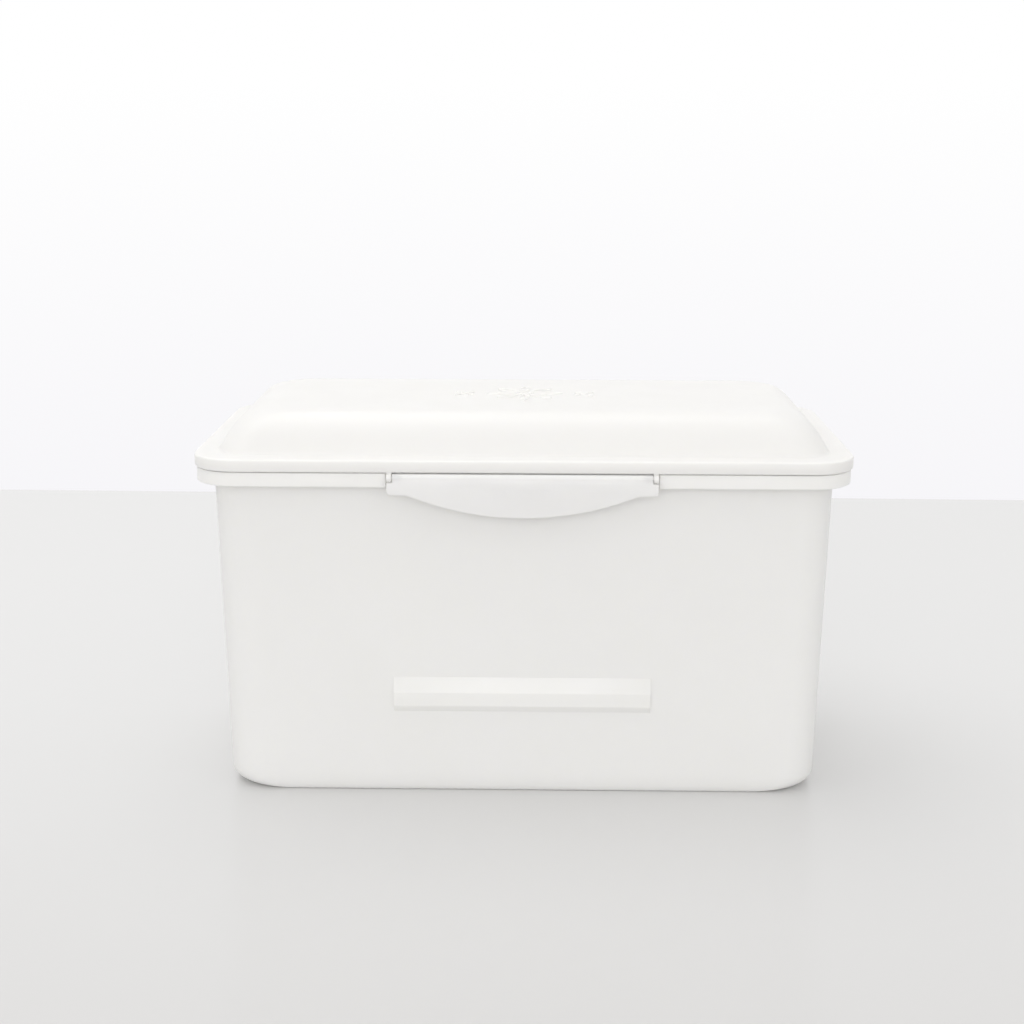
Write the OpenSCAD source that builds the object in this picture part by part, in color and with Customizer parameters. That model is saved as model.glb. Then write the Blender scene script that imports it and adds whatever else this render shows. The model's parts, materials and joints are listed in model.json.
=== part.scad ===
// Freezer box for filed milk storage bags: a translucent moulded tub, a domed lid that
// lifts off, and two hinged latches that hook under the tub's rim.
// Millimetres. +Z is up, the front faces -Y, the origin is under the middle of the tub.

/* [Lid] */
// Width of the lid over its skirt
lid_w = 290; // [250:1:330]
// Depth of the lid over its skirt
lid_d = 142; // [120:1:170]
// Radius of the lid's corners seen from above
lid_corner_r = 20; // [17:0.5:28]
// Thickness of the lid's moulded wall
lid_wall = 1.8; // [1.4:0.1:2.2]
// Height of the skirt round the lid
skirt_h = 5.5; // [5:0.1:7]
// Small radius on the lid's outer edges
edge_r = 0.8; // [0.4:0.1:1]

/* [Dome] */
// Width of the flat border between the skirt and the dome
border_w = 10; // [9.8:0.2:16]
// Rise of the dome above the border
dome_h = 17.2; // [12:0.2:24]
// How far the dome's flank leans in from foot to top
dome_lean = 21; // [14:0.5:28]
// Radius of the dome's corners seen from above
dome_corner_r = 15; // [12:0.5:24]

/* [Lid underside] */
// Depth of the rib that enters the tub's mouth
plug_depth = 7; // [5:0.5:10]
// Thickness of the ribs under the border
rib_wall = 1.4; // [1:0.1:1.6]
// Depth of the rib outside the seal
seal_rib_depth = 2.4; // [2:0.1:2.8]
// Space between the rib and the inside of the tub's mouth
plug_clearance = 0.5; // [0.3:0.05:0.7]

/* [Seal] */
// Thickness of the silicone seal
seal_t = 1.5; // [1.2:0.1:2]
// How far the seal reaches outside the tub's mouth
seal_overhang = 1.1; // [0.8:0.1:1.3]
// Space beside the seal in its channel
seal_side_clearance = 0.2; // [0.1:0.05:0.3]
// Space between the seal and the tub's mouth
seal_clearance = 0.3; // [0.2:0.05:0.4]

/* [Tub] */
// Height of the tub's mouth above the table
tub_h = 153.6; // [120:0.2:190]
// Thickness of the tub's wall
tub_wall = 2; // [1.6:0.1:2.4]
// Thickness of the tub's floor
floor_t = 2.2; // [1.8:0.1:3]
// Distance from the lid's edge in to the tub's wall, under the rim
rim_reach = 7.7; // [7.2:0.1:9]
// Draft angle of the tub's walls
draft = 1; // [0.5:0.1:2]
// Radius of the tub's upright corners
tub_corner_r = 16; // [14.5:0.5:22]
// Radius of the corners of the tub's flat underside
foot_corner_r = 30; // [20:1:36]
// How far the rounding at the foot reaches in under the tub
foot_reach = 3; // [3:0.5:8]
// Height of the rounding at the foot
foot_h = 10; // [6:0.5:12]

/* [Tub rim] */
// Thickness of the rim that stands out from the tub's wall
rim_wall = 1.8; // [1.4:0.1:2.2]
// Thickness of the turned-down lip
lip_wall = 2; // [1.8:0.1:2.4]
// Height of the turned-down lip with the rim
lip_h = 6.4; // [5.4:0.1:7.4]
// Height of the lip where the hooks catch it
catch_h = 4.4; // [3.8:0.1:5]
// How far the lip sits back from the lid's edge
lip_inset = 0.8; // [0.4:0.1:1.2]
// Space between the lid's skirt and the rim below it
rim_clearance = 0.3; // [0.2:0.05:0.5]

/* [Grip bar] */
// Width of the raised bar low on the front
bar_w = 115.6; // [80:1:150]
// Height of the bar's lower edge above the table
bar_z = 39.4; // [24:1:60]
// How far the bar stands out
bar_out = 2; // [1:0.1:3]
// Height of the bar's lower bevel
bar_low_h = 3.2; // [2:0.2:5]
// Height of the bar's face
bar_face_h = 6.2; // [4:0.2:10]
// Height of the long bevel above the face
bar_top_h = 7.2; // [4:0.2:10]

/* [Latches] */
// Width of each latch
latch_w = 117; // [90:1:150]
// Thickness of a latch's plate
latch_t = 1.5; // [1.2:0.1:1.6]
// Radius of the round bead along a latch's top
bead_r = 1.7; // [1.65:0.05:1.9]
// Distance from the lid's edge out to the hinge line
hinge_out = 0.4; // [0.3:0.05:0.6]
// Radius of the hinge pins
pin_r = 0.9; // [0.7:0.05:1]
// Length of a pin beyond its ear
pin_len = 3.5; // [2.5:0.5:6]
// Radial clearance of a pin in its bore
pin_clearance = 0.06; // [0.03:0.01:0.1]
// Thickness of the ears that hold the pins
ear_t = 2.1; // [1.6:0.1:3]
// Space beside the moving parts of a latch
latch_clearance = 0.3; // [0.2:0.05:0.4]
// Space between a latch's bead and the notch in the rim
notch_clearance = 0.4; // [0.3:0.05:0.5]
// Depth of a latch's straight band below the hinge line
band_h = 7.5; // [6.5:0.1:10]
// Width of the curved finger lip below the band
finger_w = 100; // [70:1:114]
// Drop of the finger lip below the band
finger_drop = 9.8; // [6:0.2:14]

/* [Catches] */
// Width of each hook inside a latch
hook_w = 16.4; // [10:0.2:24]
// Distance from the middle of a latch to each hook's middle
hook_x = 20.6; // [16:0.2:34]
// Height of each hook
hook_h = 6; // [4:0.2:7]
// Height of the hook's blunt nose
hook_nose_h = 1.2; // [0.8:0.1:2]
// How far each hook reaches under the lip
hook_reach = 1.2; // [0.8:0.1:1.4]
// Space between a hook and the lip above it
hook_clearance = 0.4; // [0.3:0.05:0.6]

/* [Ornament] */
// Height of the raised ornament on the dome
ornament_h = 0.6; // [0.4:0.1:1]
// Width of the ornament's raised lines
line_w = 1.2; // [0.8:0.1:1.6]
// Length of a petal of the middle rosette
petal_l = 15; // [10:0.5:18]
// Number of petals in the middle rosette
petal_count = 8; // [6:1:8]
// Radius of the ring in the middle rosette
hub_r = 3.4; // [2.4:0.2:4]
// Distance from the middle to each side rosette
side_x = 28; // [26:0.5:40]
// Length of a petal of a side rosette
side_petal_l = 5; // [4:0.5:6]

/* [Hidden] */
corner_steps = 8;
foot_steps = 8;
flank_steps = 8;
overlap = 0.3;
side_petal_count = 4;
petal_fullness = 0.36;
side_hub_r = 1.6 * line_w;

under_z = tub_h + seal_clearance + seal_t;
border_z = under_z + lid_wall;
skirt_z = border_z - skirt_h;
dome_z = border_z + dome_h;
rim_z = skirt_z - rim_clearance;
rim_under_z = rim_z - rim_wall;
lip_z = rim_z - lip_h;

mouth_in = rim_reach + tub_wall;
plug_out = mouth_in + plug_clearance;
plug_in = plug_out + rib_wall;
seal_in = plug_out - seal_side_clearance;
seal_out = rim_reach - seal_overhang;
seal_rib_in = seal_out - seal_side_clearance;
seal_rib_out = seal_rib_in - rib_wall;

hinge_y = lid_d / 2 + hinge_out;
hinge_z = skirt_z - latch_clearance - bead_r;
plate_y = hinge_y + bead_r - latch_t;
notch_y = hinge_y - bead_r - notch_clearance;
bead_half = latch_w / 2 - ear_t - latch_clearance;
catch_z = rim_z - catch_h;
hook_z = catch_z - hook_clearance;

// How far the wall's outer face lies inside the lid's edge at height z
function wall_inset(z) = rim_reach + (rim_under_z - z) * tan(draft);

// Corner radii that keep one distance to the lid's edge, the tub's wall or the dome
function lid_r(inset) = lid_corner_r - inset;
function tub_r(inset, from) = max(tub_corner_r - (inset - from), 1.5);

// One level ring of a rounded rectangle, inset from the lid's outline
function ring(inset, z, r) =
    let (hw = lid_w / 2 - inset - r, hd = lid_d / 2 - inset - r)
    [for (q = [0:3], k = [0:corner_steps])
        let (a = 90 * (q + k / corner_steps),
             sx = (q == 0 || q == 3) ? 1 : -1,
             sy = (q < 2) ? 1 : -1)
        [sx * hw + r * cos(a), sy * hd + r * sin(a), z]];

// A closed solid through a list of rings, [inset, z, corner radius], with flat ends
module ring_solid(rings) {
    per = 4 * (corner_steps + 1);
    count = len(rings);
    points = [for (g = rings) each ring(g[0], g[1], g[2])];
    first_end = [[for (k = [0:per - 1]) k]];
    last_end = [[for (k = [per - 1:-1:0]) (count - 1) * per + k]];
    sides = [for (i = [0:count - 2], k = [0:per - 1])
        let (a = i * per + k,
             b = i * per + (k + 1) % per,
             c = a + per,
             d = b + per)
        each [[a, c, b], [b, c, d]]];
    polyhedron(points = points, faces = concat(first_end, sides, last_end), convexity = 6);
}

// A rounded rectangle, inset from the lid's outline, from squares and true circles
module outline(inset, r) {
    w = lid_w - 2 * inset;
    d = lid_d - 2 * inset;
    square([w - 2 * r, d], center = true);
    square([w, d - 2 * r], center = true);
    for (sx = [-1, 1], sy = [-1, 1])
        translate([sx * (w / 2 - r), sy * (d / 2 - r)])
            circle(r = r, $fn = 64);
}

// The dome's flank from foot to top, as [inset, height], and its inner face one wall inside
foot_lean = 0.22 * dome_lean;
foot_pull = 0.62 * dome_h;
top_pull = 0.5 * dome_lean;
flank_points = [[0, 0], [foot_lean, foot_pull], [dome_lean - top_pull, dome_h], [dome_lean, dome_h]];
function bezier(p, t) =
    pow(1 - t, 3) * p[0] + 3 * t * pow(1 - t, 2) * p[1] + 3 * t * t * (1 - t) * p[2] + pow(t, 3) * p[3];
function bezier_run(p, t) =
    3 * pow(1 - t, 2) * (p[1] - p[0]) + 6 * t * (1 - t) * (p[2] - p[1]) + 3 * t * t * (p[3] - p[2]);
function flank_outer(t) = bezier(flank_points, t) + [border_w, border_z];
function flank_inner(t) =
    let (run = bezier_run(flank_points, t), unit = run / norm(run))
    flank_outer(t) + lid_wall * [unit[1], -unit[0]];

module tub() {
    foot_in = wall_inset(foot_h);
    inner_foot_reach = foot_reach - tub_wall / 2;
    inner_foot_h = foot_h - tub_wall / 2;
    inner_in = wall_inset(floor_t + inner_foot_h) + tub_wall;
    corner_growth = foot_corner_r - tub_corner_r;
    lip_in = lip_inset + lip_wall;
    mouth_edge = tub_wall / 3;
    outer_foot = [for (k = [0:foot_steps])
        let (a = 90 * k / foot_steps, share = 1 - sin(a))
        [foot_in + foot_reach * share, foot_h * (1 - cos(a)), tub_corner_r + corner_growth * share]];
    inner_foot = [for (k = [foot_steps:-1:0])
        let (a = 90 * k / foot_steps, share = 1 - sin(a))
        [inner_in + inner_foot_reach * share,
         floor_t + inner_foot_h * (1 - cos(a)),
         tub_corner_r - tub_wall + corner_growth * share]];
    rim = [
        [wall_inset(rim_under_z), rim_under_z, tub_corner_r],
        [lip_in, rim_under_z, lid_r(lip_in)],
        [lip_in, lip_z, lid_r(lip_in)],
        [lip_inset, lip_z, lid_r(lip_inset)],
        [lip_inset, rim_z - edge_r, lid_r(lip_inset)],
        [lip_inset + 0.3 * edge_r, rim_z - 0.3 * edge_r, lid_r(lip_inset + 0.3 * edge_r)],
        [lip_inset + edge_r, rim_z, lid_r(lip_inset + edge_r)],
        [rim_reach, rim_z, tub_corner_r],
        [rim_reach, tub_h - mouth_edge, tub_corner_r],
        [rim_reach + mouth_edge, tub_h, tub_r(rim_reach + mouth_edge, rim_reach)],
        [mouth_in - mouth_edge, tub_h, tub_r(mouth_in - mouth_edge, rim_reach)],
        [mouth_in, tub_h - mouth_edge, tub_r(mouth_in, rim_reach)]
    ];
    notch_w = latch_w + 4 * latch_clearance;
    notch_h = lip_h + 2;
    color([0.93, 0.94, 0.94, 0.85]) {
        difference() {
            ring_solid(concat(outer_foot, rim, inner_foot));
            for (side = [0, 1])
                mirror([0, side, 0])
                    translate([-notch_w / 2, 0, 0]) {
                        translate([0, notch_y, lip_z - 1])
                            cube([notch_w, lid_d, notch_h]);
                        translate([0, lid_d / 2 - lip_in - 1, lip_z - 1])
                            cube([notch_w, lid_d, catch_z - lip_z + 1]);
                    }
        }
        grip_bar();
    }
}

// The raised bar on the front wall: low bevel, face and long bevel, rooted in the wall
module grip_bar() {
    face_z = bar_z + bar_low_h;
    bevel_z = face_z + bar_face_h;
    top_z = bevel_z + bar_top_h;
    function wall_y(z) = lid_d / 2 - wall_inset(z);
    root = tub_wall / 2;
    rotate([90, 0, -90])
        translate([0, 0, -bar_w / 2])
            linear_extrude(bar_w)
                polygon([
                    [wall_y(bar_z) - root, bar_z],
                    [wall_y(bar_z), bar_z],
                    [wall_y(face_z) + bar_out, face_z],
                    [wall_y(bevel_z) + bar_out, bevel_z],
                    [wall_y(top_z), top_z],
                    [wall_y(top_z) - root, top_z]
                ]);
}

module lid() {
    inner_flank = [for (k = [flank_steps:-1:1])
        let (p = flank_inner(k / flank_steps))
        [p[0], p[1], dome_corner_r - lid_wall]];
    border = [
        [plug_in, under_z, tub_r(plug_in, rim_reach)],
        [plug_in, under_z - plug_depth, tub_r(plug_in, rim_reach)],
        [plug_out, under_z - plug_depth, tub_r(plug_out, rim_reach)],
        [plug_out, under_z, tub_r(plug_out, rim_reach)],
        [seal_rib_in, under_z, tub_r(seal_rib_in, rim_reach)],
        [seal_rib_in, under_z - seal_rib_depth, tub_r(seal_rib_in, rim_reach)],
        [seal_rib_out, under_z - seal_rib_depth, tub_r(seal_rib_out, rim_reach)],
        [seal_rib_out, under_z, tub_r(seal_rib_out, rim_reach)],
        [lid_wall, under_z, lid_r(lid_wall)],
        [lid_wall, skirt_z, lid_r(lid_wall)],
        [0, skirt_z, lid_corner_r],
        [0, border_z - edge_r, lid_corner_r],
        [0.3 * edge_r, border_z - 0.3 * edge_r, lid_r(0.3 * edge_r)],
        [edge_r, border_z, lid_r(edge_r)]
    ];
    outer_flank = [for (k = [0:flank_steps])
        let (p = flank_outer(k / flank_steps))
        [p[0], p[1], dome_corner_r]];
    color([0.94, 0.94, 0.93, 0.85]) {
        ring_solid(concat(inner_flank, border, outer_flank));
        for (side = [0, 1], end = [-1, 1])
            mirror([0, 1 - side, 0])
                hinge_ear(end);
        translate([0, 0, dome_z - overlap])
            linear_extrude(ornament_h + overlap)
                ornament();
    }
}

// An ear under the skirt with its pin; end is -1 or 1, for the left or right end of a latch
module hinge_ear(end) {
    outer_x = latch_w / 2;
    inner_x = outer_x - ear_t;
    mirror([end < 0 ? 1 : 0, 0, 0]) {
        translate([inner_x, hinge_y, hinge_z])
            rotate([0, 90, 0])
                cylinder(r = bead_r, h = ear_t, $fn = 48);
        translate([inner_x, hinge_y - bead_r, hinge_z])
            cube([ear_t, bead_r - hinge_out, skirt_z + overlap - hinge_z]);
        translate([inner_x - pin_len, hinge_y, hinge_z])
            rotate([0, 90, 0])
                cylinder(r = pin_r, h = pin_len + overlap, $fn = 48);
    }
}

// A petal's outline along +X from the origin, the space shared by two circles
module petal(length) {
    half = length / 2;
    rise = length * petal_fullness / 2;
    r = (half * half + rise * rise) / (2 * rise);
    difference() {
        petal_blank(half, rise, r);
        petal_blank(half, rise - line_w, r - line_w);
    }
}

module petal_blank(half, rise, r) {
    intersection() {
        translate([half, rise - r])
            circle(r = r, $fn = 96);
        translate([half, r - rise])
            circle(r = r, $fn = 96);
    }
}

module rosette(count, ring_r, length) {
    difference() {
        circle(r = ring_r, $fn = 48);
        circle(r = ring_r - line_w, $fn = 48);
    }
    for (k = [0:count - 1])
        rotate(360 * k / count)
            translate([ring_r - line_w / 2, 0])
                petal(length);
}

// A plain rosette with a smaller one on each side
module ornament() {
    rosette(petal_count, hub_r, petal_l);
    for (side = [-1, 1])
        translate([side * side_x, 0])
            rotate(45)
                rosette(side_petal_count, side_hub_r, side_petal_l);
}

module lid_seal() {
    color([0.88, 0.89, 0.9])
        translate([0, 0, under_z - seal_t])
            linear_extrude(seal_t)
                difference() {
                    outline(seal_out, tub_r(seal_out, rim_reach));
                    outline(seal_in, tub_r(seal_in, rim_reach));
                }
}

// A latch at +Y: bored bead, plate with curved finger lip, and two hooks
module latch() {
    finger_r = (pow(finger_w / 2, 2) + pow(finger_drop, 2)) / (2 * finger_drop);
    shoulder_h = bead_r + latch_clearance;
    bore_depth = pin_len + latch_clearance;
    difference() {
        union() {
            translate([-bead_half, hinge_y, hinge_z])
                rotate([0, 90, 0])
                    cylinder(r = bead_r, h = 2 * bead_half, $fn = 48);
            translate([0, plate_y + latch_t, hinge_z])
                rotate([90, 0, 0])
                    linear_extrude(latch_t) {
                        translate([-bead_half, -shoulder_h])
                            square([2 * bead_half, shoulder_h]);
                        translate([-latch_w / 2, -band_h])
                            square([latch_w, band_h - shoulder_h]);
                        intersection() {
                            translate([0, finger_r - band_h - finger_drop])
                                circle(r = finger_r, $fn = 180);
                            translate([-finger_w / 2, -band_h - finger_drop])
                                square([finger_w, finger_drop + overlap]);
                        }
                    }
            for (side = [-1, 1])
                translate([side * hook_x, 0, 0])
                    hook();
        }
        for (end = [-1, 1])
            translate([end * (bead_half - bore_depth / 2 + overlap), hinge_y, hinge_z])
                rotate([0, 90, 0])
                    cylinder(r = pin_r + pin_clearance, h = bore_depth + 2 * overlap, center = true, $fn = 48);
    }
}

// A wedge on the inner face of the plate whose flat top sits under the tub's lip
module hook() {
    nose_y = notch_y - hook_reach;
    rotate([90, 0, 90])
        translate([0, 0, -hook_w / 2])
            linear_extrude(hook_w)
                polygon([
                    [nose_y, hook_z],
                    [nose_y, hook_z - hook_nose_h],
                    [plate_y + overlap, hook_z - hook_h],
                    [plate_y + overlap, hook_z]
                ]);
}

module front_latch() {
    color([0.93, 0.93, 0.92, 0.85])
        mirror([0, 1, 0])
            latch();
}

module rear_latch() {
    color([0.93, 0.93, 0.92, 0.85])
        latch();
}

tub();
lid();
lid_seal();
front_latch();
rear_latch();
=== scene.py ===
# A translucent freezer box for milk storage bags: tub, domed lid, seal and two hinged latches.
import json
import math
import bmesh
import bpy
from mathutils import Matrix, Vector


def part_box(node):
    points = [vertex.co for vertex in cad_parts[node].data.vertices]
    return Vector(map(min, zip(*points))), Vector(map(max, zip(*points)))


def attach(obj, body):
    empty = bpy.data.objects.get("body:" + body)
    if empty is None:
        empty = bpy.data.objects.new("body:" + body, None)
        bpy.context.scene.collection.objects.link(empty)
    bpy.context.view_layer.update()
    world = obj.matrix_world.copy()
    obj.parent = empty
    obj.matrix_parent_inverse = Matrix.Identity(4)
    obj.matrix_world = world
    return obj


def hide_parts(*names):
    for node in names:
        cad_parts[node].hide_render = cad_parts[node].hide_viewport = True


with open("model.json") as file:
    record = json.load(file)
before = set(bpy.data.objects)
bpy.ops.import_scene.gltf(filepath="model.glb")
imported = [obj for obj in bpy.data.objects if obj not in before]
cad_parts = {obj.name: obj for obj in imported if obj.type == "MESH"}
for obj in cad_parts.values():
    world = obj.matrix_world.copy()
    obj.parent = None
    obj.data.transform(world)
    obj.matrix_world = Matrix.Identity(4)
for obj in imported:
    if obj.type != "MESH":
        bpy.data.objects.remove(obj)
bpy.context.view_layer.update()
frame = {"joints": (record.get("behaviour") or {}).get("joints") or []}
mm = 0.001


# Sizes that the pieces share, in mm, from the frame's own boxes
def boxInMm(node):
    low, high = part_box(node)
    return [v / mm for v in low], [v / mm for v in high]


sharedSize = {"hingeOut": 0.4, "skirtGap": 0.3, "notchBack": 0.4}
tubHigh = boxInMm("tub")[1]
lidLow, lidHigh = boxInMm("lid")
latchHigh = boxInMm("rear_latch")[1]
sealLow, sealHigh = boxInMm("lid_seal")
hinges = {j["name"]: j for j in frame["joints"]}
hingeY = hinges["rear_latch_hinge"]["pos_m"][1] / mm
hingeZ = hinges["rear_latch_hinge"]["pos_m"][2] / mm
lidWidth = lidHigh[0] - lidLow[0]
beadRadius = latchHigh[1] - hingeY
hingeOut = sharedSize["hingeOut"]
lidDepth = 2 * (hingeY - hingeOut)
mouthZ = tubHigh[2]
skirtZ = hingeZ + beadRadius + sharedSize["skirtGap"]
notchY = hingeY - beadRadius - sharedSize["notchBack"]
print("frame read: lid", round(lidWidth, 1), "by", round(lidDepth, 1), "mm, mouth at", round(mouthZ, 1))


# Mesh helpers
def arcCorner(before, corner, after, radius, steps):
    # replaces one corner of a profile by an arc that touches both sides;
    # the plan radius shrinks as the inset grows, so that neighbouring rings stay parallel
    a, c, b = (Vector(p[:2]) for p in (before, corner, after))
    u, v = (a - c), (b - c)
    reach = min(u.length, v.length) * 0.49
    u.normalize()
    v.normalize()
    half = math.acos(max(-1, min(1, u.dot(v)))) / 2
    if half > math.radians(88) or radius <= 0:
        return [tuple(corner[:3])]
    back = min(radius / math.tan(half), reach)
    size = back * math.tan(half)
    middle = c + (u + v).normalized() * size / math.sin(half)
    start, end = c + u * back, c + v * back
    first, second = start - middle, end - middle
    turn = first.angle_signed(second)
    points = []
    for k in range(steps + 1):
        angle = -turn * k / steps
        spot = middle + Matrix.Rotation(angle, 2) @ first
        points.append((spot.x, spot.y, corner[2] - (spot.x - corner[0])))
    return points


def roundProfile(corners, steps=5):
    # corners are (inset, height, plan radius, edge radius); the ends stay as they are
    points = [tuple(corners[0][:3])]
    for before, corner, after in zip(corners, corners[1:], corners[2:]):
        points += arcCorner(before, corner, after, corner[3], steps)
    points.append(tuple(corners[-1][:3]))
    return points


def ringPoints(inset, z, radius, steps):
    halfW = lidWidth / 2 - inset - radius
    halfD = lidDepth / 2 - inset - radius
    points = []
    for quarter, (sx, sy) in enumerate(((1, 1), (-1, 1), (-1, -1), (1, -1))):
        for k in range(steps + 1):
            angle = math.radians(90 * (quarter + k / steps))
            points.append((sx * halfW + radius * math.cos(angle), sy * halfD + radius * math.sin(angle), z))
    return points


def shellMesh(name, profile, cornerSteps=20):
    # a closed skin through level rounded rectangles, flat at both ends
    mesh = bmesh.new()
    rings = [[mesh.verts.new(Vector(p) * mm) for p in ringPoints(i, z, max(r, 0.6), cornerSteps)]
             for i, z, r in profile]
    count = len(rings[0])
    for low, high in zip(rings, rings[1:]):
        for k in range(count):
            n = (k + 1) % count
            mesh.faces.new((low[k], low[n], high[n], high[k]))
    mesh.faces.new(list(reversed(rings[0])))
    mesh.faces.new(rings[-1])
    return finishMesh(name, mesh)


def finishMesh(name, mesh):
    bmesh.ops.recalc_face_normals(mesh, faces=mesh.faces)
    data = bpy.data.meshes.new(name)
    mesh.to_mesh(data)
    mesh.free()
    piece = bpy.data.objects.new(name, data)
    bpy.context.collection.objects.link(piece)
    return piece


def prismMesh(name, outline, low, high, toPoint):
    # a prism over an outline; toPoint turns (a, b, depth) into x, y, z in mm
    mesh = bmesh.new()
    first = [mesh.verts.new(Vector(toPoint(a, b, low)) * mm) for a, b in outline]
    last = [mesh.verts.new(Vector(toPoint(a, b, high)) * mm) for a, b in outline]
    count = len(outline)
    for k in range(count):
        n = (k + 1) % count
        mesh.faces.new((first[k], first[n], last[n], last[k]))
    mesh.faces.new(list(reversed(first)))
    mesh.faces.new(last)
    return finishMesh(name, mesh)


def barMesh(name, radius, start, end, y, z, steps=48):
    outline = [(radius * math.cos(2 * math.pi * k / steps), radius * math.sin(2 * math.pi * k / steps))
               for k in range(steps)]
    return prismMesh(name, outline, start, end, lambda a, b, x: (x, y + a, z + b))


def softenEdges(piece, width, segments=3, limit=35):
    bevel = piece.modifiers.new("soft edges", "BEVEL")
    bevel.width = width * mm
    bevel.segments = segments
    bevel.limit_method = "ANGLE"
    bevel.angle_limit = math.radians(limit)
    bevel.harden_normals = False


def applyModifiers(piece):
    seen = bpy.context.evaluated_depsgraph_get()
    data = bpy.data.meshes.new_from_object(piece.evaluated_get(seen))
    piece.modifiers.clear()
    piece.data = data
    return piece


def combine(piece, others, operation, selfCrossing=False):
    # joins other solids to a piece, or cuts them out of it, and throws them away
    for k, other in enumerate(others):
        cut = piece.modifiers.new("shape " + str(k), "BOOLEAN")
        cut.operation = operation
        cut.solver = "EXACT"
        cut.use_self = selfCrossing
        cut.object = other
    applyModifiers(piece)
    for other in others:
        bpy.data.objects.remove(other)
    return piece


def shadeSmooth(piece, angle=32):
    mesh = bmesh.new()
    mesh.from_mesh(piece.data)
    bmesh.ops.remove_doubles(mesh, verts=mesh.verts, dist=0.002 * mm)
    bmesh.ops.dissolve_degenerate(mesh, edges=mesh.edges, dist=0.001 * mm)
    mesh.to_mesh(piece.data)
    mesh.free()
    piece.data.shade_smooth()
    piece.data.set_sharp_from_angle(angle=math.radians(angle))


def mirrorMesh(piece, axis):
    data = piece.data.copy()
    data.transform(Matrix.Scale(-1, 4, axis))
    data.flip_normals()
    return data


def settle(piece, body, slot, material, *nodes):
    piece.data.materials.clear()
    piece.data.materials.append(material)
    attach(piece, body)
    if nodes:
        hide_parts(*nodes)


# Materials
def linear(hexColour):
    values = [int(hexColour[k:k + 2], 16) / 255 for k in (1, 3, 5)]
    return [v / 12.92 if v <= 0.04045 else ((v + 0.055) / 1.055) ** 2.4 for v in values] + [1]


def addNode(tree, kind, settings=None, inputs=None, links=None):
    node = tree.nodes.new(kind)
    for name, value in (settings or {}).items():
        setattr(node, name, value)
    for name, value in (inputs or {}).items():
        node.inputs[name].default_value = value
    for name, socket in (links or {}).items():
        tree.links.new(socket, node.inputs[name])
    return node


def newMaterial(name):
    material = bpy.data.materials.new(name)
    material.use_nodes = True
    tree = material.node_tree
    tree.nodes.clear()
    output = addNode(tree, "ShaderNodeOutputMaterial")
    return material, tree, output


def mouldedPolypropylene(name, look):
    # natural polypropylene from a satin mould: milky, soft highlight, fine orange peel,
    # faint cloudy flow in the wall and a few hairline rubs
    material, tree, output = newMaterial(name)
    place = addNode(tree, "ShaderNodeTexCoord").outputs["Object"]
    cloud = addNode(tree, "ShaderNodeTexNoise", {"noise_dimensions": "3D"},
                    {"Scale": 1 / (look["cloudMm"] * mm), "Detail": 3.0, "Roughness": 0.5}, {"Vector": place})
    tint = addNode(tree, "ShaderNodeMix", {"data_type": "RGBA"}, None, {"Factor": cloud.outputs["Fac"]})
    tint.inputs[6].default_value = linear(look["colour"])
    tint.inputs[7].default_value = linear(look["cloudColour"])
    grain = addNode(tree, "ShaderNodeTexNoise", {"noise_dimensions": "3D"},
                    {"Scale": 1 / (look["grainMm"] * mm), "Detail": 2.0, "Roughness": 0.55}, {"Vector": place})
    stretch = addNode(tree, "ShaderNodeMapping", None,
                      {"Rotation": (0.3, 0.9, 0.5), "Scale": (1, 14, 1)}, {"Vector": place})
    rub = addNode(tree, "ShaderNodeTexNoise", {"noise_dimensions": "3D"},
                  {"Scale": 1 / (look["rubMm"] * mm), "Detail": 4.0, "Roughness": 0.7},
                  {"Vector": stretch.outputs["Vector"]})
    worn = addNode(tree, "ShaderNodeMapRange", None,
                   {"From Min": 0.62, "From Max": 0.78, "To Min": 0.0, "To Max": look["rubAmount"]},
                   {"Value": rub.outputs["Fac"]})
    rough = addNode(tree, "ShaderNodeMapRange", None,
                    {"From Min": 0.3, "From Max": 0.7, "To Min": look["roughness"] - 0.05,
                     "To Max": look["roughness"] + 0.05}, {"Value": cloud.outputs["Fac"]})
    total = addNode(tree, "ShaderNodeMath", {"operation": "ADD"}, None,
                    {0: rough.outputs["Result"], 1: worn.outputs["Result"]})
    bump = addNode(tree, "ShaderNodeBump", None, {"Strength": look["grainStrength"], "Distance": 0.05 * mm},
                   {"Height": grain.outputs["Fac"]})
    shader = addNode(tree, "ShaderNodeBsdfPrincipled", {"subsurface_method": "RANDOM_WALK"},
                     {"IOR": 1.49, "Subsurface Weight": look["milk"], "Subsurface Scale": look["depthMm"] * mm,
                      "Subsurface Radius": (1.0, 1.0, 0.94), "Transmission Weight": look["clear"]},
                    {"Base Color": tint.outputs[2], "Roughness": total.outputs["Value"],
                     "Normal": bump.outputs["Normal"]})
    tree.links.new(shader.outputs["BSDF"], output.inputs["Surface"])
    return material


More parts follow.
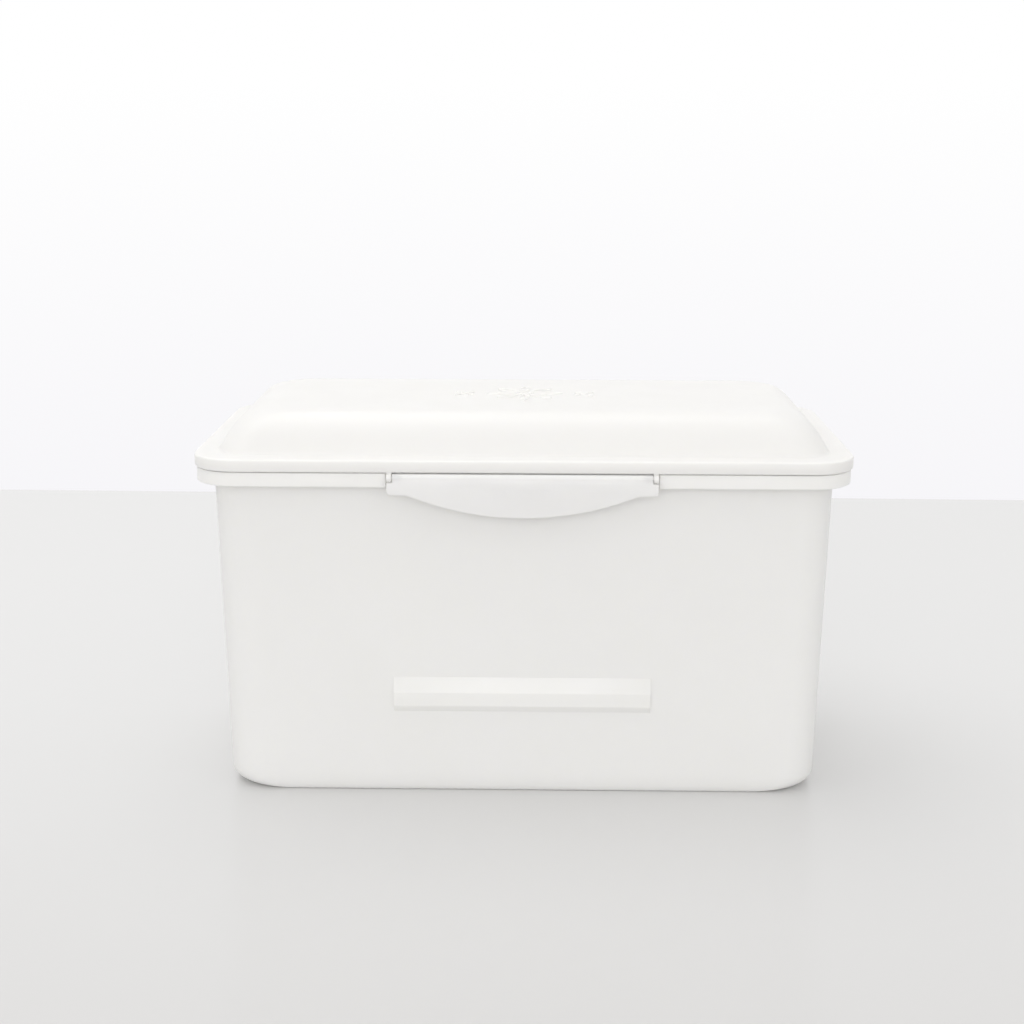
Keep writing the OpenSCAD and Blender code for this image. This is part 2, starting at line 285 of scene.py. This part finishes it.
def mouldedSilicone(name):
    # translucent white silicone, matt and slightly tacky, with a soft mottled bloom
    material, tree, output = newMaterial(name)
    place = addNode(tree, "ShaderNodeTexCoord").outputs["Object"]
    bloom = addNode(tree, "ShaderNodeTexNoise", None, {"Scale": 1 / (3 * mm), "Detail": 3.0}, {"Vector": place})
    tint = addNode(tree, "ShaderNodeMix", {"data_type": "RGBA"}, None, {"Factor": bloom.outputs["Fac"]})
    tint.inputs[6].default_value = linear("#E2E4E5")
    tint.inputs[7].default_value = linear("#ECEDED")
    bump = addNode(tree, "ShaderNodeBump", None, {"Strength": 0.2, "Distance": 0.05 * mm},
                   {"Height": bloom.outputs["Fac"]})
    shader = addNode(tree, "ShaderNodeBsdfPrincipled", None,
                     {"IOR": 1.41, "Roughness": 0.6, "Subsurface Weight": 0.5, "Subsurface Scale": 2 * mm},
                     {"Base Color": tint.outputs[2], "Normal": bump.outputs["Normal"]})
    tree.links.new(shader.outputs["BSDF"], output.inputs["Surface"])
    return material


tubLook = {"colour": "#F9F8F5", "cloudColour": "#F6F5F2", "cloudMm": 34, "grainMm": 0.9, "grainStrength": 0.25,
           "rubMm": 3.5, "rubAmount": 0.1, "roughness": 0.34, "milk": 0.6, "depthMm": 2.2, "clear": 0.06}
lidLook = {"colour": "#F6F5F2", "cloudColour": "#F3F2EF", "cloudMm": 26, "grainMm": 0.9, "grainStrength": 0.25,
           "rubMm": 3.0, "rubAmount": 0.12, "roughness": 0.36, "milk": 0.6, "depthMm": 2.4, "clear": 0.05}
latchLook = {"colour": "#FAF9F7", "cloudColour": "#F6F5F3", "cloudMm": 18, "grainMm": 0.8, "grainStrength": 0.22,
             "rubMm": 2.5, "rubAmount": 0.14, "roughness": 0.33, "milk": 0.6, "depthMm": 2.6, "clear": 0.1}
tubPlastic = mouldedPolypropylene("natural polypropylene, satin moulded, tub", tubLook)
lidPlastic = mouldedPolypropylene("milky polypropylene, satin moulded, lid", lidLook)
latchPlastic = mouldedPolypropylene("natural polypropylene, satin moulded, latch", latchLook)
silicone = mouldedSilicone("translucent silicone, press moulded")
print("materials made")


# Tub
tubSize = {"wall": 2.0, "floor": 2.2, "reach": 7.7, "draft": 1.0, "rimCorner": 16.0, "footCorner": 30.0,
           "footReach": 3.0, "footHeight": 10.0, "rimWall": 1.8, "lipWall": 2.0, "lipHeight": 6.4, "catchHeight": 4.4,
           "lipInset": 0.8, "rimGap": 0.3, "lidCorner": 20.0, "edge": 0.8, "footFlat": 12.0, "footSteps": 14,
           "notchSide": 0.6, "notchDepth": 9.0, "softEdge": 0.25}
rimZ = skirtZ - tubSize["rimGap"]
rimUnderZ = rimZ - tubSize["rimWall"]
lipZ = rimZ - tubSize["lipHeight"]
catchZ = rimZ - tubSize["catchHeight"]


def wallInset(z):
    return tubSize["reach"] + (rimUnderZ - z) * math.tan(math.radians(tubSize["draft"]))


def mouthCorner(inset):
    return tubSize["rimCorner"] - (inset - tubSize["reach"])


def lidCorner(inset):
    return tubSize["lidCorner"] - inset


def footPoints(floorZ, height, reach, wall):
    # the foot's rounding from the floor up; its corners widen as it reaches in
    topIn = wallInset(floorZ + height) + wall
    growth = tubSize["footCorner"] - tubSize["rimCorner"]
    corner = tubSize["rimCorner"] - wall
    flat, steps = tubSize["footFlat"], tubSize["footSteps"]
    points = [(topIn + reach + flat, floorZ, corner + growth - flat, 0)]
    for k in range(steps + 1):
        a = math.radians(90 * k / steps)
        share = 1 - math.sin(a)
        points.append((topIn + reach * share, floorZ + height * (1 - math.cos(a)), corner + growth * share, 0))
    return points


def makeTub():
    s = tubSize
    wall = s["wall"]
    lipIn = s["lipInset"] + s["lipWall"]
    mouthIn = s["reach"] + wall
    innerHeight = s["footHeight"] - wall / 2
    outerFoot = footPoints(0, s["footHeight"], s["footReach"], 0)
    innerFoot = footPoints(s["floor"], innerHeight, s["footReach"] - wall / 2, wall)
    corners = outerFoot + [
        (wallInset(rimUnderZ), rimUnderZ, s["rimCorner"], 0.7),
        (lipIn, rimUnderZ, lidCorner(lipIn), 0.6),
        (lipIn, lipZ, lidCorner(lipIn), 0.4),
        (s["lipInset"], lipZ, lidCorner(s["lipInset"]), 0.7),
        (s["lipInset"], rimZ, lidCorner(s["lipInset"]), s["edge"]),
        (s["reach"], rimZ, s["rimCorner"], 0.4),
        (s["reach"], mouthZ, s["rimCorner"], wall * 0.45),
        (mouthIn, mouthZ, mouthCorner(mouthIn), wall * 0.45),
        (mouthIn, rimUnderZ, mouthCorner(mouthIn), 0),
    ] + innerFoot[::-1]
    profile = roundProfile(corners, 6)
    tub = shellMesh("tub_shell", profile)
    cutters = []
    notchHalf = latchHigh[0] + s["notchSide"]
    notchEnd = notchY + s["notchDepth"]
    for side in (1, -1):
        # each notch goes past the rim; the lower cut makes room for the hooks behind the lip
        outer = [(notchY, lipZ - 1), (notchEnd, lipZ - 1), (notchEnd, rimZ + 1), (notchY, rimZ + 1)]
        under = [(lidDepth / 2 - lipIn - 1, lipZ - 2), (notchEnd, lipZ - 2), (notchEnd, catchZ),
                 (lidDepth / 2 - lipIn - 1, catchZ)]
        for outline in (outer, under):
            cutters.append(prismMesh("cutter", outline, -notchHalf, notchHalf,
                                     lambda y, z, x, side=side: (x, side * y, z)))
    combine(tub, cutters, "DIFFERENCE")
    combine(tub, [makeGripBar()], "UNION")
    softenEdges(tub, s["softEdge"], 2, 50)
    applyModifiers(tub)
    shadeSmooth(tub)
    return tub


# Raised bar low on the front wall
barSize = {"width": 115.6, "z": 39.4, "out": 2.0, "lowBevel": 3.2, "face": 6.2, "topBevel": 7.2}


def makeGripBar():
    b = barSize
    z0 = b["z"]
    z1 = z0 + b["lowBevel"]
    z2 = z1 + b["face"]
    z3 = z2 + b["topBevel"]
    wallY = [lidDepth / 2 - wallInset(z) for z in (z0, z1, z2, z3)]
    section = [(wallY[0] - 1, z0, 0, 0), (wallY[0], z0, 0, 0.4), (wallY[1] + b["out"], z1, 0, 1.2),
               (wallY[2] + b["out"], z2, 0, 1.6), (wallY[3], z3, 0, 1.2), (wallY[3] - 1, z3, 0, 0)]
    outline = [(y, z) for y, z, _ in roundProfile(section, 5)]
    return prismMesh("bar", outline, -b["width"] / 2, b["width"] / 2, lambda y, z, x: (x, -y, z))


tub = makeTub()
settle(tub, "tub", "tub", tubPlastic, "tub")
print("tub made,", len(tub.data.polygons), "faces")


# Lid
lidSize = {"wall": 1.8, "border": 10.0, "domeHeight": 17.2, "lean": 21.0, "domeCorner": 15.0, "plugDepth": 7.0,
           "rib": 1.4, "sealRibDepth": 2.4, "plugGap": 0.5, "sealOverhang": 1.1, "sealSide": 0.2,
           "sealGap": 0.3, "sealThickness": 1.5, "earWidth": 2.1, "pinRadius": 0.9, "pinLength": 3.5,
           "pulls": ((0.22, 0.62), (0.5, 1.0)), "flankSteps": 22, "cornerSteps": 24}
underZ = mouthZ + lidSize["sealGap"] + lidSize["sealThickness"]
borderZ = underZ + lidSize["wall"]


def bezierPoint(points, t):
    a, b, c, d = (Vector(p) for p in points)
    return (1 - t) ** 3 * a + 3 * t * (1 - t) ** 2 * b + 3 * t * t * (1 - t) * c + t ** 3 * d


def flankCurve(steps):
    lean, rise = lidSize["lean"], lidSize["domeHeight"]
    pulls = [(0, 0)] + [(x * lean, z * rise) for x, z in lidSize["pulls"]] + [(lean, rise)]
    start = Vector((lidSize["border"], borderZ))
    outer, inner = [], []
    for k in range(steps + 1):
        t = k / steps
        spot = bezierPoint(pulls, t)
        run = bezierPoint(pulls, min(t + 0.001, 1)) - bezierPoint(pulls, max(t - 0.001, 0))
        run.normalize()
        outer.append(start + spot)
        inner.append(start + spot + Vector((run.y, -run.x)) * lidSize["wall"])
    return outer, inner


def makeLid():
    s = lidSize
    wall, corner = s["wall"], s["domeCorner"]
    outer, inner = flankCurve(s["flankSteps"])
    plugOut = tubSize["reach"] + tubSize["wall"] + s["plugGap"]
    plugIn = plugOut + s["rib"]
    ribIn = tubSize["reach"] - s["sealOverhang"] - s["sealSide"]
    ribOut = ribIn - s["rib"]
    ribZ = underZ - s["sealRibDepth"]
    plugZ = underZ - s["plugDepth"]
    corners = [(p.x, p.y, corner - wall, 0) for p in reversed(inner[2:])]
    corners += [
        (plugIn, underZ + 0.6, mouthCorner(plugIn), 0.8),
        (plugIn, plugZ, mouthCorner(plugIn), 0.5),
        (plugOut, plugZ, mouthCorner(plugOut), 0.5),
        (plugOut, underZ, mouthCorner(plugOut), 0.3),
        (ribIn, underZ, mouthCorner(ribIn), 0.2),
        (ribIn, ribZ, mouthCorner(ribIn), 0.4),
        (ribOut, ribZ, mouthCorner(ribOut), 0.4),
        (ribOut, underZ, mouthCorner(ribOut), 0.3),
        (wall, underZ, lidCorner(wall), 0.6),
        (wall, skirtZ, lidCorner(wall), 0.5),
        (0, skirtZ, lidCorner(0), 0.7),
        (0, borderZ, lidCorner(0), tubSize["edge"]),
        (s["border"], borderZ, corner, 1.6),
    ]
    corners += [(p.x, p.y, corner, 0) for p in outer[2:]]
    lid = shellMesh("lid_shell", roundProfile(corners, 5), s["cornerSteps"])
    parts = []
    outerX = latchHigh[0]
    innerX = outerX - s["earWidth"]
    for side in (1, -1):
        for end in (1, -1):
            y, z = side * hingeY, hingeZ
            web = [(y - side * beadRadius, z), (y - side * hingeOut, z), (y - side * hingeOut, skirtZ + 0.4),
                   (y - side * beadRadius, skirtZ + 0.4)]
            parts.append(prismMesh("web", web, innerX * end, outerX * end, lambda a, b, x: (x, a, b)))
            parts.append(barMesh("ear", beadRadius, innerX * end, outerX * end, y, z))
            parts.append(barMesh("pin", s["pinRadius"], (innerX - s["pinLength"]) * end, (innerX + 0.5) * end,
                                 y, z, 32))
    return combine(lid, parts, "UNION")


lid = makeLid()


# Geometry Nodes helpers
def newTree(name, inputs):
    tree = bpy.data.node_groups.new(name, "GeometryNodeTree")
    tree.interface.new_socket("Geometry", in_out="INPUT", socket_type="NodeSocketGeometry")
    for label, kind, value in inputs:
        socket = tree.interface.new_socket(label, in_out="INPUT", socket_type=kind)
        if value is not None:
            socket.default_value = value
    tree.interface.new_socket("Geometry", in_out="OUTPUT", socket_type="NodeSocketGeometry")
    return tree


def growMesh(piece, tree, values):
    modifier = piece.modifiers.new("grow", "NODES")
    modifier.node_group = tree
    for socket in tree.interface.items_tree:
        if socket.in_out == "INPUT" and socket.name in values:
            modifier[socket.identifier] = values[socket.name]
    return applyModifiers(piece)


# Raised ornament on the dome: a plain rosette with a smaller one on each side
ornamentSize = {"line": 1.2, "fullness": 0.36, "sideAt": 28.0, "lineSides": 10, "petalSteps": 16, "hubSteps": 50}
middleRosette = {"petals": 8, "hub": 3.4, "petalLength": 15.0, "turn": 0.0}
sideRosette = {"petals": 4, "hub": 1.92, "petalLength": 5.0, "turn": 45.0}


def rosetteTree():
    # petals, one mesh, set round a hub ring whose line is a swept round
    sides = ornamentSize["lineSides"]
    tree = newTree("rosette", [("Petals", "NodeSocketInt", middleRosette["petals"]),
                               ("Hub Radius", "NodeSocketFloat", middleRosette["hub"] * mm),
                               ("Line", "NodeSocketFloat", ornamentSize["line"] * mm),
                               ("Turn", "NodeSocketFloat", 0.0), ("Finish", "NodeSocketMaterial", None)])
    inside = addNode(tree, "NodeGroupInput")
    spots = addNode(tree, "GeometryNodeMeshCircle", None, None,
                    {"Vertices": inside.outputs["Petals"], "Radius": inside.outputs["Hub Radius"]})
    place = addNode(tree, "GeometryNodeInputPosition")
    facing = addNode(tree, "FunctionNodeAlignRotationToVector", {"axis": "X"}, None, {"Vector": place.outputs[0]})
    petals = addNode(tree, "GeometryNodeInstanceOnPoints", None, None,
                     {"Points": spots.outputs["Mesh"], "Instance": inside.outputs["Geometry"],
                      "Rotation": facing.outputs["Rotation"]})
    half = addNode(tree, "ShaderNodeMath", {"operation": "MULTIPLY"}, {1: 0.5}, {0: inside.outputs["Line"]})
    middle = addNode(tree, "ShaderNodeMath", {"operation": "SUBTRACT"}, None,
                     {0: inside.outputs["Hub Radius"], 1: half.outputs[0]})
    ring = addNode(tree, "GeometryNodeCurvePrimitiveCircle", {"mode": "RADIUS"},
                   {"Resolution": ornamentSize["hubSteps"]},
                   {"Radius": middle.outputs[0]})
    section = addNode(tree, "GeometryNodeCurvePrimitiveCircle", {"mode": "RADIUS"}, {"Resolution": sides},
                      {"Radius": half.outputs[0]})
    upright = addNode(tree, "GeometryNodeTransform", None, {"Rotation": (0, 0, math.radians(180 / sides))},
                      {"Geometry": section.outputs["Curve"]})
    hub = addNode(tree, "GeometryNodeCurveToMesh", None, {"Fill Caps": False},
                  {"Curve": ring.outputs["Curve"], "Profile Curve": upright.outputs[0]})
    both = addNode(tree, "GeometryNodeJoinGeometry")
    tree.links.new(petals.outputs["Instances"], both.inputs[0])
    tree.links.new(hub.outputs["Mesh"], both.inputs[0])
    spin = addNode(tree, "ShaderNodeCombineXYZ", None, None, {"Z": inside.outputs["Turn"]})
    turned = addNode(tree, "GeometryNodeTransform", None, None,
                     {"Geometry": both.outputs[0], "Rotation": spin.outputs[0]})
    real = addNode(tree, "GeometryNodeRealizeInstances", None, None, {"Geometry": turned.outputs[0]})
    finish = addNode(tree, "GeometryNodeSetMaterial", None, None,
                     {"Geometry": real.outputs[0], "Material": inside.outputs["Finish"]})
    outside = addNode(tree, "NodeGroupOutput")
    tree.links.new(finish.outputs[0], outside.inputs[0])
    return tree


def petalMesh(length, line, fullness):
    # the outline of one petal along +X: a round line, half sunk in the dome, round a pointed oval
    half, rise = length / 2, length * fullness / 2
    radius = (half * half + rise * rise) / (2 * rise) - line / 2
    low = radius - (rise - line / 2)
    reach = math.acos(low / radius)
    steps, sides = ornamentSize["petalSteps"], ornamentSize["lineSides"]
    path = []
    for sign in (1, -1):
        for k in range(steps):
            angle = reach - 2 * reach * k / steps
            path.append((half - sign * radius * math.sin(angle), sign * (radius * math.cos(angle) - low)))
    mesh = bmesh.new()
    rings = []
    for k, (x, y) in enumerate(path):
        px, py = path[k - 1]
        nx, ny = path[(k + 1) % len(path)]
        run = Vector((nx - px, ny - py)).normalized()
        across = Vector((run.y, -run.x))
        ring = []
        for j in range(sides):
            a = 2 * math.pi * (j + 0.5) / sides
            side, up = math.cos(a) * line / 2, math.sin(a) * line / 2
            ring.append(mesh.verts.new(Vector((x + across.x * side, y + across.y * side, up)) * mm))
        rings.append(ring)
    for k, ring in enumerate(rings):
        after = rings[(k + 1) % len(rings)]
        for j in range(sides):
            n = (j + 1) % sides
            mesh.faces.new((ring[j], ring[n], after[n], after[j]))
    return finishMesh("petal", mesh)


def makeOrnament():
    s = ornamentSize
    tree = rosetteTree()
    made = []
    for rosette, x in ((middleRosette, 0), (sideRosette, s["sideAt"]), (sideRosette, -s["sideAt"])):
        piece = petalMesh(rosette["petalLength"], s["line"], s["fullness"])
        growMesh(piece, tree, {"Petals": rosette["petals"], "Hub Radius": rosette["hub"] * mm,
                               "Line": s["line"] * mm, "Turn": math.radians(rosette["turn"]), "Finish": lidPlastic})
        piece.data.transform(Matrix.Translation((x * mm, 0, 0)))
        made.append(piece)
    mesh = bmesh.new()
    for piece in made:
        mesh.from_mesh(piece.data)
    bmesh.ops.translate(mesh, verts=mesh.verts, vec=(0, 0, (borderZ + lidSize["domeHeight"]) * mm))
    for piece in made:
        bpy.data.objects.remove(piece)
    return finishMesh("dome_ornament", mesh)


ornament = makeOrnament()
print("ornament made,", len(ornament.data.polygons), "faces")
combine(lid, [ornament], "UNION", True)
shadeSmooth(lid)
settle(lid, "lid", "lid", lidPlastic, "lid")
print("lid made,", len(lid.data.polygons), "faces")


# Seal: a grooved section swept round the lid's channel
sealSize = {"groove": 0.5, "grooveHalf": 0.6, "lowRound": 0.35, "highRound": 0.15}


def sealTree():
    # the piece's own outline is the section; the path is a rounded rectangle
    tree = newTree("seal sweep", [("Length", "NodeSocketFloat", 274 * mm), ("Depth", "NodeSocketFloat", 126 * mm),
                                  ("Corner", "NodeSocketFloat", 15 * mm), ("Height", "NodeSocketFloat", 154 * mm),
                                  ("Finish", "NodeSocketMaterial", None)])
    inside = addNode(tree, "NodeGroupInput")
    section = addNode(tree, "GeometryNodeMeshToCurve", None, None, {"Mesh": inside.outputs["Geometry"]})
    sides = addNode(tree, "GeometryNodeCurvePrimitiveQuadrilateral", None, None,
                    {"Width": inside.outputs["Length"], "Height": inside.outputs["Depth"]})
    rounded = addNode(tree, "GeometryNodeFilletCurve", {"mode": "POLY"}, {"Count": 20},
                      {"Curve": sides.outputs["Curve"], "Radius": inside.outputs["Corner"]})
    upright = addNode(tree, "GeometryNodeSetCurveNormal", {"mode": "Z_UP"}, None, {"Curve": rounded.outputs["Curve"]})
    sweep = addNode(tree, "GeometryNodeCurveToMesh", None, None,
                    {"Curve": upright.outputs["Curve"], "Profile Curve": section.outputs["Curve"]})
    rise = addNode(tree, "ShaderNodeCombineXYZ", None, None, {"Z": inside.outputs["Height"]})
    placed = addNode(tree, "GeometryNodeTransform", None, None,
                     {"Geometry": sweep.outputs["Mesh"], "Translation": rise.outputs[0]})
    real = addNode(tree, "GeometryNodeRealizeInstances", None, None, {"Geometry": placed.outputs[0]})
    finish = addNode(tree, "GeometryNodeSetMaterial", None, None,
                     {"Geometry": real.outputs[0], "Material": inside.outputs["Finish"]})
    outside = addNode(tree, "NodeGroupOutput")
    tree.links.new(finish.outputs[0], outside.inputs[0])
    return tree


def makeSeal():
    s = sealSize
    outIn = tubSize["reach"] - lidSize["sealOverhang"]
    backIn = tubSize["reach"] + tubSize["wall"] + lidSize["plugGap"] - lidSize["sealSide"]
    middle = (outIn + backIn) / 2
    halfWidth, halfHeight = (backIn - outIn) / 2, (sealHigh[2] - sealLow[2]) / 2
    corners = [(0, -halfHeight + s["groove"], 0, 0), (-s["grooveHalf"], -halfHeight, 0, 0.2),
               (-halfWidth, -halfHeight, 0, s["lowRound"]), (-halfWidth, halfHeight, 0, s["highRound"]),
               (halfWidth, halfHeight, 0, s["highRound"]), (halfWidth, -halfHeight, 0, s["lowRound"]),
               (s["grooveHalf"], -halfHeight, 0, 0.2), (0, -halfHeight + s["groove"], 0, 0)]
    # the sweep turns the section's y downwards
    outline = [(x, -y) for x, y, _ in roundProfile(corners, 4)][:-1]
    mesh = bmesh.new()
    spots = [mesh.verts.new(Vector((x, y, 0)) * mm) for x, y in outline]
    for k, spot in enumerate(spots):
        mesh.edges.new((spots[k - 1], spot))
    seal = finishMesh("seal_ring", mesh)
    growMesh(seal, sealTree(), {"Length": (lidWidth - 2 * middle) * mm, "Depth": (lidDepth - 2 * middle) * mm,
                                "Corner": mouthCorner(middle) * mm, "Height": (sealLow[2] + sealHigh[2]) / 2 * mm,
                                "Finish": silicone})
    mesh = bmesh.new()
    mesh.from_mesh(seal.data)
    bmesh.ops.recalc_face_normals(mesh, faces=mesh.faces)
    mesh.to_mesh(seal.data)
    mesh.free()
    return seal


seal = makeSeal()
shadeSmooth(seal)
settle(seal, "lid", "seal", silicone, "lid_seal")
print("seal made,", len(seal.data.polygons), "faces")


# Latches
latchSize = {"thickness": 1.5, "bandHeight": 7.5, "fingerWidth": 100.0, "fingerDrop": 9.8, "gap": 0.3,
             "boreRadius": 0.96, "hookWidth": 16.4, "hookAt": 20.6, "hookHeight": 6.0, "hookNose": 1.2,
             "hookReach": 1.2, "hookGap": 0.4, "cornerRound": 1.6, "edgeRound": 0.45, "lipSteps": 56, "cornerSteps": 4}


def latchOutline():
    s = latchSize
    half = latchHigh[0]
    neck = half - lidSize["earWidth"] - s["gap"]
    top = hingeZ
    shoulder = hingeZ - beadRadius - s["gap"]
    band = hingeZ - s["bandHeight"]
    reach, drop = s["fingerWidth"] / 2, s["fingerDrop"]
    radius = (reach * reach + drop * drop) / (2 * drop)
    spread = math.asin(reach / radius)
    points = [(-neck, top), (-neck, shoulder), (-half, shoulder)]
    cornerSteps, steps = s["cornerSteps"], s["lipSteps"]
    for k in range(cornerSteps + 1):
        a = math.radians(180 + 90 * k / cornerSteps)
        points.append((-half + s["cornerRound"] * (1 + math.cos(a)), band + s["cornerRound"] * (1 + math.sin(a))))
    for k in range(steps + 1):
        a = -spread + 2 * spread * k / steps
        points.append((radius * math.sin(a), band - drop + radius - radius * math.cos(a)))
    for k in range(cornerSteps + 1):
        a = math.radians(270 + 90 * k / cornerSteps)
        points.append((half + s["cornerRound"] * (math.cos(a) - 1), band + s["cornerRound"] * (1 + math.sin(a))))
    points += [(half, shoulder), (neck, shoulder), (neck, top)]
    return points


def makeLatch(name):
    s = latchSize
    front = hingeY + beadRadius
    back = front - s["thickness"]
    neck = latchHigh[0] - lidSize["earWidth"] - s["gap"]
    plate = prismMesh(name, latchOutline(), back, front, lambda x, z, y: (x, y, z))
    softenEdges(plate, s["edgeRound"], 3, 40)
    applyModifiers(plate)
    topZ = catchZ - s["hookGap"]
    nose = notchY - s["hookReach"]
    section = [(back + 0.3, topZ, 0, 0), (nose, topZ, 0, 0.3), (nose, topZ - s["hookNose"], 0, 0.5),
               (back + 0.3, topZ - s["hookHeight"], 0, 0)]
    outline = [(y, z) for y, z, _ in roundProfile(section, 3)]
    parts = [barMesh("bead", beadRadius, -neck, neck, hingeY, hingeZ, 64)]
    for side in (1, -1):
        middle = side * s["hookAt"]
        parts.append(prismMesh("hook", outline, middle - s["hookWidth"] / 2, middle + s["hookWidth"] / 2,
                               lambda y, z, x: (x, y, z)))
    combine(plate, parts, "UNION")
    depth = lidSize["pinLength"] + s["gap"]
    bores = [barMesh("bore", s["boreRadius"], end * (neck - depth), end * (neck + 1), hingeY, hingeZ, 32)
             for end in (1, -1)]
    combine(plate, bores, "DIFFERENCE")
    shadeSmooth(plate, 38)
    return plate


rearLatch = makeLatch("rear_latch_flap")
frontData = mirrorMesh(rearLatch, (0, 1, 0))
frontLatch = bpy.data.objects.new("front_latch_flap", frontData)
bpy.context.collection.objects.link(frontLatch)
settle(rearLatch, "rear_latch", "latch", latchPlastic, "rear_latch")
settle(frontLatch, "front_latch", "latch", latchPlastic, "front_latch")
print("latches made,", len(rearLatch.data.polygons), "faces each")


# Table, background, light and camera
stageSize = {"tableFront": -3.0, "tableRear": 0.53, "tableHalf": 6.0, "tableTilt": 1.1}
tableColour = "#DFDFDF"
# painted shade: the darker tone for the front of the table stands in for the light falling off towards the camera
tableNearPaintedShade = "#CECDCC"
backColour = "#F6F5F8"


def makeTable():
    s = stageSize
    lean = s["tableHalf"] * math.tan(math.radians(s["tableTilt"]))
    corners = [(-s["tableHalf"], s["tableFront"], 0), (s["tableHalf"], s["tableFront"], 0),
               (s["tableHalf"], s["tableRear"] - lean, 0), (-s["tableHalf"], s["tableRear"] + lean, 0)]
    mesh = bmesh.new()
    mesh.faces.new([mesh.verts.new(c) for c in corners])
    table = finishMesh("table", mesh)
    material, tree, output = newMaterial("white lacquered table top")
    place = addNode(tree, "ShaderNodeTexCoord").outputs["Object"]
    soft = addNode(tree, "ShaderNodeTexNoise", None, {"Scale": 3.0, "Detail": 2.0}, {"Vector": place})
    rough = addNode(tree, "ShaderNodeMapRange", None, {"To Min": 0.2, "To Max": 0.26},
                    {"Value": soft.outputs["Fac"]})
    spot = addNode(tree, "ShaderNodeSeparateXYZ", None, None, {"Vector": place})
    # painted shade: the table top is mixed from the far colour to the darker near colour towards its front edge
    depth = addNode(tree, "ShaderNodeMapRange", {"interpolation_type": "SMOOTHSTEP"},
                    {"From Min": -0.7, "From Max": 0.1}, {"Value": spot.outputs["Y"]})
    tint = addNode(tree, "ShaderNodeMix", {"data_type": "RGBA"}, None, {"Factor": depth.outputs["Result"]})
    tint.inputs[6].default_value = linear(tableNearPaintedShade)
    tint.inputs[7].default_value = linear(tableColour)
    shader = addNode(tree, "ShaderNodeBsdfPrincipled", None, {"IOR": 1.45},
                     {"Base Color": tint.outputs[2], "Roughness": rough.outputs["Result"]})
    tree.links.new(shader.outputs["BSDF"], output.inputs["Surface"])
    table.data.materials.append(material)


def makeWorld():
    world = bpy.data.worlds.new("pale studio")
    bpy.context.scene.world = world
    world.use_nodes = True
    tree = world.node_tree
    tree.nodes.clear()
    rays = addNode(tree, "ShaderNodeLightPath")
    seen = addNode(tree, "ShaderNodeMath", {"operation": "MAXIMUM"}, None,
                   {0: rays.outputs["Is Camera Ray"], 1: rays.outputs["Is Glossy Ray"]})
    shown = addNode(tree, "ShaderNodeMath", {"operation": "MAXIMUM"}, None,
                    {0: seen.outputs[0], 1: rays.outputs["Is Transmission Ray"]})
    direction = addNode(tree, "ShaderNodeTexCoord").outputs["Generated"]
    parts = addNode(tree, "ShaderNodeSeparateXYZ", None, None, {"Vector": direction})
    height = addNode(tree, "ShaderNodeMapRange", None, {"From Min": -0.25, "From Max": 0.02},
                     {"Value": parts.outputs["Z"]})
    sky = addNode(tree, "ShaderNodeMix", {"data_type": "RGBA"}, None, {"Factor": height.outputs["Result"]})
    sky.inputs[6].default_value = linear(backColour)
    sky.inputs[7].default_value = linear("#FFFFFF")
    view = addNode(tree, "ShaderNodeBackground", None, {"Strength": 1.0}, {"Color": sky.outputs[2]})
    fill = addNode(tree, "ShaderNodeBackground", None, {"Color": linear("#FFFEFD"), "Strength": 0.83})
    mix = addNode(tree, "ShaderNodeMixShader", None, None,
                  {0: shown.outputs[0], 1: fill.outputs[0], 2: view.outputs[0]})
    output = addNode(tree, "ShaderNodeOutputWorld")
    tree.links.new(mix.outputs[0], output.inputs["Surface"])


# Places and sizes in metres, power in watts; both look at the box's middle
lamps = [{"name": "overhead soft box", "spot": (-0.4, 0.3, 1.65), "size": (1.8, 1.2), "power": 7.5},
         {"name": "front soft box", "spot": (-0.2, -4.4, 1.2), "size": (3.4, 2.2), "power": 50.0}]
lampTarget = (0, 0, 0.1)


def addLamp(name, spot, size, power):
    data = bpy.data.lights.new(name, "AREA")
    data.shape = "RECTANGLE"
    data.size, data.size_y = size
    data.energy = power
    lamp = bpy.data.objects.new(name, data)
    lamp.location = spot
    lamp.rotation_euler = (Vector(lampTarget) - Vector(spot)).to_track_quat("-Z", "Y").to_euler()
    bpy.context.collection.objects.link(lamp)


def makeCamera():
    # the place and turn come from fitting the box's outline in the photograph
    view = {"focalPixels": 1600.0, "framePixels": 1024.0, "spot": (6.9, -742.0, 301.4),
            "yaw": -0.97, "pitch": 13.94, "roll": 0.12}
    yaw, pitch, roll = (math.radians(view[k]) for k in ("yaw", "pitch", "roll"))
    ahead = Vector((math.sin(yaw) * math.cos(pitch), math.cos(yaw) * math.cos(pitch), -math.sin(pitch)))
    right = Vector((math.cos(yaw), -math.sin(yaw), 0))
    up = right.cross(ahead)
    turned = right * math.cos(roll) + up * math.sin(roll)
    risen = up * math.cos(roll) - right * math.sin(roll)
    data = bpy.data.cameras.new("camera")
    data.sensor_width = 36
    data.lens = 36 * view["focalPixels"] / view["framePixels"]
    data.clip_start = 0.01
    camera = bpy.data.objects.new("camera", data)
    turn = Matrix((turned, risen, -ahead)).transposed().to_4x4()
    camera.matrix_world = Matrix.Translation(Vector(view["spot"]) * mm) @ turn
    bpy.context.collection.objects.link(camera)
    bpy.context.scene.camera = camera


makeTable()
makeWorld()
for lampSize in lamps:
    addLamp(**lampSize)
makeCamera()
bpy.context.scene.view_settings.view_transform = "Standard"
print("stage, light and camera made")
